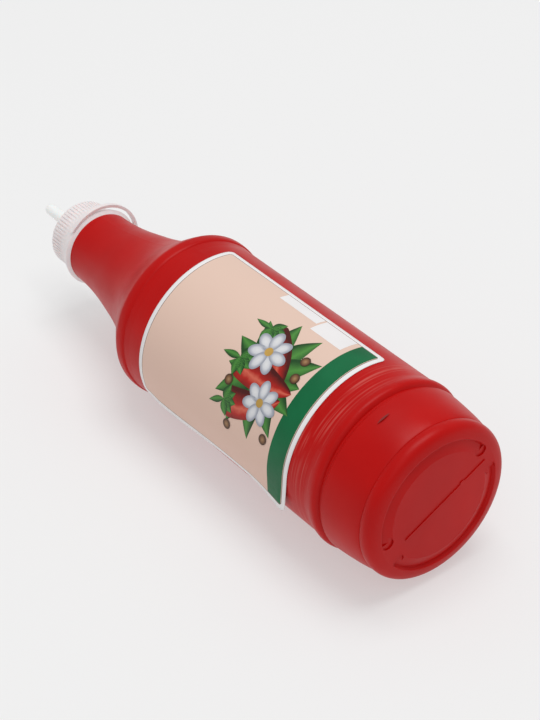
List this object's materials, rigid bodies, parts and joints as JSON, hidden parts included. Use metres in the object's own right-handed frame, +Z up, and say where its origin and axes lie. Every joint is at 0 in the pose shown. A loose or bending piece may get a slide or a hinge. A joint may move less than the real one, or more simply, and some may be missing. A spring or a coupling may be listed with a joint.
{
  "type": "ketchup squeeze bottle",
  "caption": "Red squeeze bottle of ketchup lying on its side, with a rounded front label and a ribbed nozzle cap.",
  "frame": {"origin": "on the surface that the bottle lies on, under the middle of its box", "axes": "+X towards the base, nozzle towards -X, +Z up, label on the +Z and -Y side"},
  "size_m": [0.2978, 0.082, 0.0817],
  "materials": {
    "red_plastic": "satin",
    "label_paper": "satin",
    "white_plastic": "satin"
  },
  "bodies": {
    "root": {"bottle": "red_plastic", "label": "label_paper", "tamper_collar": "white_plastic", "cap": "white_plastic", "tear_ring": "white_plastic"}
  },
  "joints": []
}
